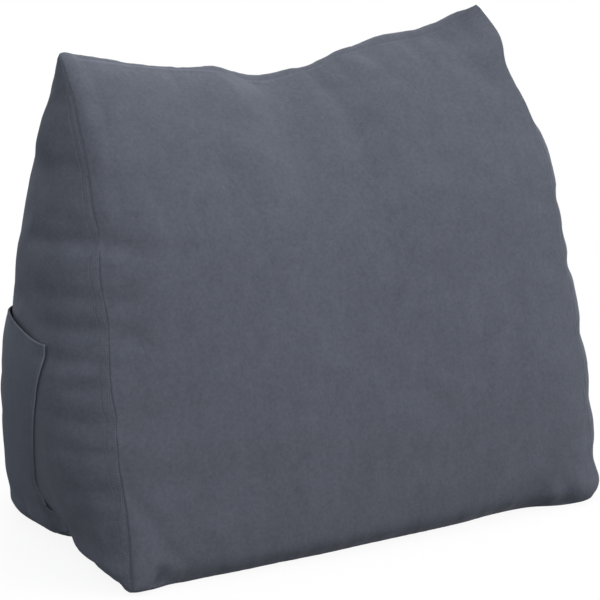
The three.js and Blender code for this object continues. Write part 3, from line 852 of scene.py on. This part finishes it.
# The patch pocket on the left side panel: one sheet with rounded edges, sewn down on three sides
pocket = {
    "foot": {"at": [0, 0.15, 0.4, 1], "height": [0.068, 0.042, 0.022, 0.022]},
    "mouth": {
        "at": [0, 0.06, 0.12, 0.22, 0.35, 0.5, 0.62, 0.75, 0.88, 1],
        "height": [0.4575, 0.4568, 0.4572, 0.4594, 0.4632, 0.4672, 0.4690, 0.4655, 0.4575, 0.452],
    },
    "back": 0.965,
    "front": {
        "at": [0, 0.05, 0.1, 0.16, 0.22, 0.3, 0.38, 0.46, 0.54, 0.62, 0.7, 0.8, 0.9, 1],
        "setBack": [0.118, 0.148, 0.157, 0.165, 0.1676, 0.1604, 0.1542, 0.1479, 0.1422, 0.1380, 0.1336,
                    0.1291, 0.1245, 0.1255],
    },
    "cloth": 0.0022,
    "clothLow": 0.20,  # as thick as this share of it at the foot
    "clothMore": 0.45,  # and thicker by this share above it
    "clothMoreBy": 0.16,
    "frontSeat": {  # a gap by its front
        "at": [0, 0.14, 0.3, 0.5, 0.8, 1],
        "off": [0, 0.0001, 0.0004, 0.0009, 0.0016, 0.0019],
    },
    "frontSeatReach": 0.020,
    "stand": {"at": [0, 0.5, 0.7, 0.85, 1], "off": [0.0065, 0.0052, 0.0032, 0.0024, 0.0020]},  # of the mouth
    "standRise": 0.8,
    "edgeReach": 0.028,
    "belly": 0.0033,
    "bellyStart": 0.020,
    "gape": {"deep": 0.0034, "at": 0.088, "high": 0.022, "wide": 0.045},  # by the foot
    "rollSteps": 4,  # around its folded edges
    "rollProbe": 0.003,
    # painted highlight along the pocket's front edge and mouth; where the mouth's values are below 0,
    # painted shade at its back end
    "wear": {"at": [0, 0.08, 0.15, 0.3, 0.6, 0.8, 1], "front": [1, 0.9, 0.2, 0.1, 0.7, 0.9, 1]},
    "mouthWear": {"at": [0, 0.3, 0.6, 0.8, 1], "worn": [-0.9, -0.5, 0.4, 0.8, 0.9]},
    "wearReach": 0.0008,
    "hem": 0.0002,
    "hemWidth": 0.0044,
    "hemSoft": 0.0006,
    "edgeStitch": 0.0052,
    "stitchDitch": 0.0003,
    "stitchDitchWidth": 0.0011,
    "edgeLines": [0.0003, 0.0008, 0.0014, 0.0022, 0.0032, 0.0042, 0.0052, 0.0064, 0.0085, 0.0110, 0.0130,
                  0.0150, 0.0170],
    "pitch": 0.0042,
    "flat": (0.172, 0.284),
}


def freed(away):  # how far the pocket is free of the stitches at its edge
    return 1 - fade(away, pocket["edgeReach"])


def coverSurface(name, a, b):  # the finished surface of the cover, with its outward direction
    facing = panels[name]["facing"]
    out = facingOut(lambda p, q: panelPoints(name, p, q), facing, a, b, cover["fineProbe"])[1]
    return coverPoints(name, a, b) + out * reliefAt(name, a, b)[:, None], out


def pocketPlace(s, t):
    panel = panels["left"]
    foot = readTable(pocket["foot"], "height", s)
    b = foot + t * (readTable(pocket["mouth"], "height", s) - foot)
    near, far = panel["near"]["smooth"](b)[:, 1], panel["far"]["smooth"](b)[:, 1]
    front = (cover["footMiddle"][1] + readTable(pocket["front"], "setBack", t) - near) / (far - near)
    return front + s * (pocket["back"] - front), b, (pocket["back"] - front) * (far - near)


def pocketSheet(s, t):
    a, b, width = pocketPlace(s, t)
    height = pocket["flat"][1]
    points, out = coverSurface("left", a, b)
    belly = pocket["belly"] * (1 - fade(t * height, pocket["bellyStart"])) * (1 - t)
    mouth = readTable(pocket["stand"], "off", s) * np.maximum(t, 1e-9) ** pocket["standRise"]
    off = (mouth + belly) * freed(s * width) * freed((1 - s) * width)
    seat = readTable(pocket["frontSeat"], "off", t) * fade(s * width, pocket["frontSeatReach"])
    given = pocket["gape"]
    gape = given["deep"] * np.exp(-((s / given["wide"]) ** 2) - ((t - given["at"]) / given["high"]) ** 2)
    edge = np.minimum.reduce([s * width, (1 - s) * width, t * height, (1 - t) * height])
    lower = seat + off + gape
    hem = stepDown((edge - pocket["hemWidth"]) / pocket["hemSoft"], pocket["hem"])
    stitched = pocket["stitchDitch"] * bell(edge - pocket["edgeStitch"], pocket["stitchDitchWidth"])
    more = pocket["clothMore"] * (1 - bell(t, pocket["clothMoreBy"]))
    upper = lower + pocket["cloth"] * (pocket["clothLow"] + more) + hem - stitched
    return points + out * upper[:, None], points + out * lower[:, None], out


# painted light and shade on the pocket: highlights on its edges, paler at its foot
def pocketPaintedLight(s, t):
    width, height = pocket["flat"]
    front = readTable(pocket["wear"], "front", t) * bell(s * width, pocket["wearReach"])
    mouth = readTable(pocket["mouthWear"], "worn", 1 - s) * bell((1 - t) * height, pocket["wearReach"])
    foot = readTable(sewing["footBrushed"], "pale", pocketPlace(s, t)[1])
    return front + mouth + foot


def rolledEdge(s, t, upper, lower):  # half-round rings from the upper border to the lower
    step = pocket["rollProbe"]
    inner = pocketSheet(s + step * ((s == 0) * 1.0 - (s == 1)), t + step * ((t == 0) * 1.0 - (t == 1)))[0]
    thick = np.linalg.norm(upper - lower, axis=1)
    up = unit(upper - lower)
    away = upper - inner
    away = unit(away - up * np.sum(away * up, axis=1)[:, None])
    rings = []
    for k in range(1, pocket["rollSteps"]):
        turn = math.pi * (0.5 - k / pocket["rollSteps"])
        around = up * math.sin(turn) + away * math.cos(turn)
        rings.append((upper + lower) / 2 + around * thick[:, None] / 2)
    return rings


def ringFaces(rings):  # joins each ring of points to the next
    faces = []
    for first, second in zip(rings, rings[1:]):
        for i in range(len(first)):
            n = (i + 1) % len(first)
            faces.append((first[i], first[n], second[n], second[i]))
    return faces


def shifted(faces, start):
    return [tuple(start + v for v in face) for face in faces]


def makePocket():
    width, height = pocket["flat"]
    columns = linesAcross(width, pocket["pitch"], pocket["edgeLines"])
    rows = linesAcross(height, pocket["pitch"], pocket["edgeLines"])
    s, t = [grid.ravel() for grid in np.meshgrid(columns, rows)]
    upper, lower = pocketSheet(s, t)[:2]
    across, upward, total = len(columns), len(rows), len(s)
    faces = []
    for j in range(upward - 1):
        for i in range(across - 1):
            k = j * across + i
            quad = (k, k + 1, k + 1 + across, k + across)
            faces += [quad[::-1]] + shifted([quad], total)
    loop = list(range(across)) + [j * across + across - 1 for j in range(1, upward)]
    loop += [total - 1 - i for i in range(1, across)] + [j * across for j in range(upward - 2, 0, -1)]
    rings, count = rolledEdge(s[loop], t[loop], upper[loop], lower[loop]), len(loop)
    levels = [loop] + [[2 * total + k * count + i for i in range(count)] for k in range(len(rings))]
    levels.append([total + v for v in loop])
    faces += ringFaces(levels)
    piece = makeObject("pocketSheet", np.concatenate([upper, lower] + rings), faces)
    onEdge = pocketPaintedLight(s[loop], t[loop])
    wear(piece, np.concatenate([pocketPaintedLight(s, t), np.zeros(total)] + [onEdge] * len(rings)))
    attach(piece, "root")
    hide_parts("pocket")
    print("pocket made, faces", len(faces))
    return piece


pocketPiece = makePocket()


# Stitches, each a small capsule lying in its ditch
stitch = {
    "pitch": 0.0031,
    "length": 0.0024,
    "thick": 0.00060,
    "flat": 0.7,  # its height, as a share of its thickness
    "rings": [(-0.5, 0.35), (-0.38, 0.85), (0, 1), (0.38, 0.85), (0.5, 0.35)],  # along it, and how thick
    "sides": 6,
    "seamSpan": (0.012, 0.93),  # up the side panel
    "seamSteps": 600,
    "seamSeat": 0.35,  # of its thickness, off the cloth
    "pocketThread": 0.6,  # as thick as this share of the seams' thread
    "pocketSeat": 0.2,
    "pocketSteps": 200,
    "belowMouth": 0.004,
}


def capsule(look):
    points, sides = [], look["sides"]
    for x, r in look["rings"]:
        for k in range(sides):
            turn = 2 * math.pi * k / sides
            points.append((x, r * math.cos(turn), r * math.sin(turn)))
    rings = [tuple(range(first, first + sides)) for first in range(0, len(points), sides)]
    return np.array(points), ringFaces(rings) + [rings[0][::-1], rings[-1]]


def stitchRun(points, outs, thick):  # along a line of points
    long, pitch = stitch["length"], stitch["pitch"]
    along = np.concatenate([[0], np.cumsum(np.linalg.norm(np.diff(points, axis=0), axis=1))])
    shape, shapeFaces = capsule(stitch)
    allPoints, allFaces = [], []
    for place in np.arange(pitch, along[-1] - pitch, pitch):
        start, end = between(place - long / 2, along, points), between(place + long / 2, along, points)
        run = unit((end - start)[None])[0]
        side = unit(np.cross(between(place, along, outs), run)[None])[0]
        top = np.cross(run, side)
        placed = (start + end) / 2 + shape[:, :1] * run * long + shape[:, 1:2] * side * thick
        allFaces += shifted(shapeFaces, len(allPoints) * len(shape))
        allPoints.append(placed + shape[:, 2:] * top * thick * stitch["flat"])
    return np.concatenate(allPoints), allFaces


def seamRun(name, line):
    b = np.linspace(*stitch["seamSpan"], stitch["seamSteps"])
    width = distancesTo(panels[name], np.zeros(len(b)), b)[1]
    points, out = coverSurface(name, line / width, b)
    return stitchRun(points + out * stitch["thick"] * stitch["seamSeat"], out, stitch["thick"])


def pocketRun(s, t):
    upper, out = pocketSheet(s, t)[::2]
    thick = stitch["thick"] * stitch["pocketThread"]
    return stitchRun(upper + out * thick * stitch["pocketSeat"], out, thick)


def pocketRuns():
    width, height = pocket["flat"]
    inS, inT, steps = pocket["edgeStitch"] / width, pocket["edgeStitch"] / height, stitch["pocketSteps"]
    down, over = np.linspace(1 - stitch["belowMouth"], inT, steps), np.linspace(inS, 1 - inS, steps)
    runs = [pocketRun(np.full(steps, s), down) for s in (inS, 1 - inS)]
    return runs + [pocketRun(over, np.full(steps, t)) for t in (inT, 1 - inT)]


def makeStitches(name, runs):
    points, faces, start = [], [], 0
    for runPoints, runFaces in runs:
        faces += shifted(runFaces, start)
        points.append(runPoints)
        start += len(runPoints)
    piece = makeObject(name, np.concatenate(points), faces)
    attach(piece, "root")
    print(name, "made, faces", len(faces))
    return piece


seamRuns = [seamRun(name, line) for name in ("left", "right") for line in sewing["stitchAt"]]
seamThread = makeStitches("seamStitches", seamRuns)
pocketThread = makeStitches("pocketStitches", pocketRuns())


# Suede: a nap brushed this way and that, over a short dense grain
suede = {
    "cloth": (0.0745, 0.0825, 0.1040, 1),
    "cloudSize": 0.038,
    "cloudStrength": 0.50,
    "grainSize": 0.0042,
    "grainStrength": 0.78,
    "bump": 0.35,
    "bumpHeight": 0.0006,
    "sheen": 0.17,
    "sheenRoughness": 0.45,
    "sheenTint": (0.80, 0.86, 1.0, 1),
    "specular": 0.2,
    "wear": 0.6,  # how strongly the painted light and shade change the colour
}
pocketSuede = dict(suede, cloth=(0.0725, 0.0825, 0.1055, 1))
thread = dict(suede, cloth=(0.0960, 0.1060, 0.1300, 1), grainSize=0.0008, bump=0.2, bumpHeight=0.0001)

nap = {  # of each noise: its detail, roughness and distortion
    "clouds": (3.0, 0.55, 0.6),
    "strokes": (4.0, 0.6, 0.8),
    "grain": (3.0, 0.65, 0),
    "fibre": (2.0, 0.6, 0),
    "strokeStretch": (1.0, 0.6, 0.35),
    "strokeTurn": (0.3, 0.5, 0.4),
    "strokesPerCloud": 2.6,
    "fibresPerGrain": 4.0,
    "cloudMix": (0.55, 0.45),  # of clouds and strokes
    "grainMix": (0.75, 0.25),  # of grain and fibre
    "roughness": 0.92,
    "smoother": 0.4,  # where the nap is paler
    "strokeHeight": 0.6,
}
napInputs = {
    "Cloth": "cloth", "Cloud Size": "cloudSize", "Cloud Strength": "cloudStrength",
    "Grain Size": "grainSize", "Grain Strength": "grainStrength",
}


def setInputs(node, values):
    for name, value in values.items():
        node.inputs[name].default_value = value


def maths(tree, operation, *values):
    node = tree.nodes.new("ShaderNodeMath")
    node.operation = operation
    for socket, value in zip(node.inputs, values):
        if isinstance(value, (int, float)):
            socket.default_value = value
        else:
            tree.links.new(value, socket)
    return node.outputs[0]


def mixed(tree, first, second, shares):
    weighed = [maths(tree, "MULTIPLY", value, share) for value, share in zip((first, second), shares)]
    return maths(tree, "ADD", *weighed)


def aroundZero(tree, value, strength):
    return maths(tree, "MULTIPLY", maths(tree, "SUBTRACT", value, 0.5), strength)


def tinted(tree, colour, times):
    node = tree.nodes.new("ShaderNodeVectorMath")
    node.operation = "SCALE"
    tree.links.new(colour, node.inputs[0])
    tree.links.new(times, node.inputs["Scale"])
    return node.outputs[0]


def noise(tree, vector, scale, look):
    node = tree.nodes.new("ShaderNodeTexNoise")
    setInputs(node, dict(zip(("Detail", "Roughness", "Distortion"), look)))
    tree.links.new(vector, node.inputs["Vector"])
    tree.links.new(scale, node.inputs["Scale"])
    return node.outputs["Fac"]


def makeNapGroup(look):
    group = bpy.data.node_groups.new("suedeNap", "ShaderNodeTree")
    for name, key in napInputs.items():
        kind = "NodeSocketColor" if name == "Cloth" else "NodeSocketFloat"
        socket = group.interface.new_socket(name=name, in_out="INPUT", socket_type=kind)
        socket.default_value = suede[key]
    for name in ("Colour", "Roughness", "Height"):
        kind = "NodeSocketColor" if name == "Colour" else "NodeSocketFloat"
        group.interface.new_socket(name=name, in_out="OUTPUT", socket_type=kind)
    add, link = group.nodes.new, group.links.new
    entry = add("NodeGroupInput").outputs
    leave = add("NodeGroupOutput").inputs
    place = add("ShaderNodeTexCoord").outputs["Object"]

    def work(operation, *values):
        return maths(group, operation, *values)

    cloudScale = work("DIVIDE", 1.0, entry["Cloud Size"])
    grainScale = work("DIVIDE", 1.0, entry["Grain Size"])
    strokeScale = work("MULTIPLY", cloudScale, look["strokesPerCloud"])
    fibreScale = work("MULTIPLY", grainScale, look["fibresPerGrain"])
    stretch = add("ShaderNodeMapping")
    setInputs(stretch, {"Scale": look["strokeStretch"], "Rotation": look["strokeTurn"]})
    link(place, stretch.inputs["Vector"])
    clouds = noise(group, place, cloudScale, look["clouds"])
    strokes = noise(group, stretch.outputs["Vector"], strokeScale, look["strokes"])
    grain = noise(group, place, grainScale, look["grain"])
    fibre = noise(group, place, fibreScale, look["fibre"])
    soft = aroundZero(group, mixed(group, clouds, strokes, look["cloudMix"]), entry["Cloud Strength"])
    sharp = mixed(group, grain, fibre, look["grainMix"])
    fine = aroundZero(group, sharp, entry["Grain Strength"])
    shade = work("ADD", 1.0, work("ADD", soft, fine))
    rough = work("SUBTRACT", look["roughness"], work("MULTIPLY", soft, look["smoother"]))
    high = work("ADD", sharp, work("MULTIPLY", strokes, look["strokeHeight"]))
    link(tinted(group, entry["Cloth"], shade), leave["Colour"])
    link(rough, leave["Roughness"])
    link(high, leave["Height"])
    return group


def makeMaterial(name):
    material = bpy.data.materials.new(name)
    material.use_nodes = True
    return material, material.node_tree, material.node_tree.nodes["Principled BSDF"]


def makeSuede(name, look, napGroup):
    material, tree, shader = makeMaterial(name)
    add, link = tree.nodes.new, tree.links.new
    group = add("ShaderNodeGroup")
    group.node_tree = napGroup
    setInputs(group, {socket: look[key] for socket, key in napInputs.items()})
    bump = add("ShaderNodeBump")
    setInputs(bump, {"Strength": look["bump"], "Distance": look["bumpHeight"]})
    # painted light and shade: a point attribute makes the colour paler or darker
    worn = add("ShaderNodeAttribute")
    worn.attribute_name = "worn"
    times = maths(tree, "MULTIPLY_ADD", worn.outputs["Fac"], look["wear"], 1.0)
    link(tinted(tree, group.outputs["Colour"], times), shader.inputs["Base Color"])
    link(group.outputs["Roughness"], shader.inputs["Roughness"])
    link(group.outputs["Height"], bump.inputs["Height"])
    link(bump.outputs["Normal"], shader.inputs["Normal"])
    setInputs(shader, {
        "Sheen Weight": look["sheen"],
        "Sheen Roughness": look["sheenRoughness"],
        "Sheen Tint": look["sheenTint"],
        "Specular IOR Level": look["specular"],
    })
    return material


def dress(piece, material):
    piece.data.materials.clear()
    piece.data.materials.append(material)


napGroup = makeNapGroup(nap)
dress(coverPiece, makeSuede("coverSuede", suede, napGroup))
dress(pocketPiece, makeSuede("pocketSuede", pocketSuede, napGroup))
threadMaterial = makeSuede("polyesterThread", thread, napGroup)
dress(seamThread, threadMaterial)
dress(pocketThread, threadMaterial)
print("materials made")


# The studio: a pale floor, a white surround and soft lights
studio = {
    "floorHalf": 12,
    "floorColour": (0.90, 0.90, 0.90, 1),
    "floorUnder": (0.07, 0.07, 0.075, 1),  # what the floor gives back to the cushion
    "floorRoughness": 0.9,
    "floorSpecular": 0.1,
    "whiteFrom": 0.45,  # the floor turns to plain white between these distances from its middle
    "whiteTo": 1.1,
    "whiteNear": 0.9,  # how white it is before that
    "skyTop": 0.9,
    "skyLow": 0.62,
    "skyHigh": 0.72,
    "skyColour": (0.955, 0.985, 1.045, 1),
    "lampColour": (1.04, 1.01, 0.96),
    "lampAim": (0, 0, 0.25),
    "lamps": {
        "key": {"power": 23.3, "size": 1.35, "place": (1.6, -1.45, 1.25)},
        "fill": {"power": 36.5, "size": 1.4, "place": (-0.9, -2.9, 1.2)},
        "top": {"power": 36, "size": 2.4, "place": (0.4, 0.5, 2.8)},
    },
}


def makeFloor(look):
    w = look["floorHalf"]
    square = [(-w, -w, 0), (w, -w, 0), (w, w, 0), (-w, w, 0)]
    floor = makeObject("floor", square, [(0, 1, 2, 3)], smooth=False)
    material, tree, shader = makeMaterial("floorPaper")
    add, link = tree.nodes.new, tree.links.new
    setInputs(shader, {"Roughness": look["floorRoughness"], "Specular IOR Level": look["floorSpecular"]})
    seen = add("ShaderNodeLightPath").outputs["Is Camera Ray"]
    colour = add("ShaderNodeMix")
    colour.data_type = "RGBA"
    setInputs(colour, {"A": look["floorUnder"], "B": look["floorColour"]})
    link(seen, colour.inputs["Factor"])
    link(colour.outputs["Result"], shader.inputs["Base Color"])
    distance = add("ShaderNodeVectorMath")
    distance.operation = "LENGTH"
    link(add("ShaderNodeTexCoord").outputs["Object"], distance.inputs[0])
    ring = add("ShaderNodeMapRange")
    ring.interpolation_type = "SMOOTHSTEP"
    setInputs(ring, {
        "From Min": look["whiteFrom"], "From Max": look["whiteTo"], "To Min": look["whiteNear"],
    })
    link(distance.outputs["Value"], ring.inputs["Value"])
    white = add("ShaderNodeEmission")
    blend = add("ShaderNodeMixShader")
    link(maths(tree, "MULTIPLY", ring.outputs["Result"], seen), blend.inputs["Fac"])
    link(shader.outputs["BSDF"], blend.inputs[1])
    link(white.outputs["Emission"], blend.inputs[2])
    link(blend.outputs["Shader"], tree.nodes["Material Output"].inputs["Surface"])
    dress(floor, material)


def makeSky(look):
    world = bpy.data.worlds.new("studio")
    world.use_nodes = True
    tree = world.node_tree
    add, link = tree.nodes.new, tree.links.new
    split = add("ShaderNodeSeparateXYZ")
    link(add("ShaderNodeTexCoord").outputs["Generated"], split.inputs[0])
    height = add("ShaderNodeMapRange")
    setInputs(height, {"From Max": look["skyTop"], "To Min": look["skyLow"], "To Max": look["skyHigh"]})
    link(split.outputs["Z"], height.inputs["Value"])
    background = tree.nodes["Background"]
    background.inputs["Color"].default_value = look["skyColour"]
    link(height.outputs["Result"], background.inputs["Strength"])
    bpy.context.scene.world = world


def makeStudio(look):
    makeFloor(look)
    makeSky(look)
    for name, lamp in look["lamps"].items():
        data = bpy.data.lights.new(name, "AREA")
        data.shape, data.size = "DISK", lamp["size"]
        data.energy, data.color = lamp["power"], look["lampColour"]
        lampObject = addObject(name, data)
        lampObject.location = lamp["place"]
        aim = Vector(look["lampAim"]) - lampObject.location
        lampObject.rotation_euler = aim.to_track_quat("-Z", "Y").to_euler()
    bpy.context.scene.view_settings.view_transform = "Standard"


makeStudio(studio)
print("studio made")
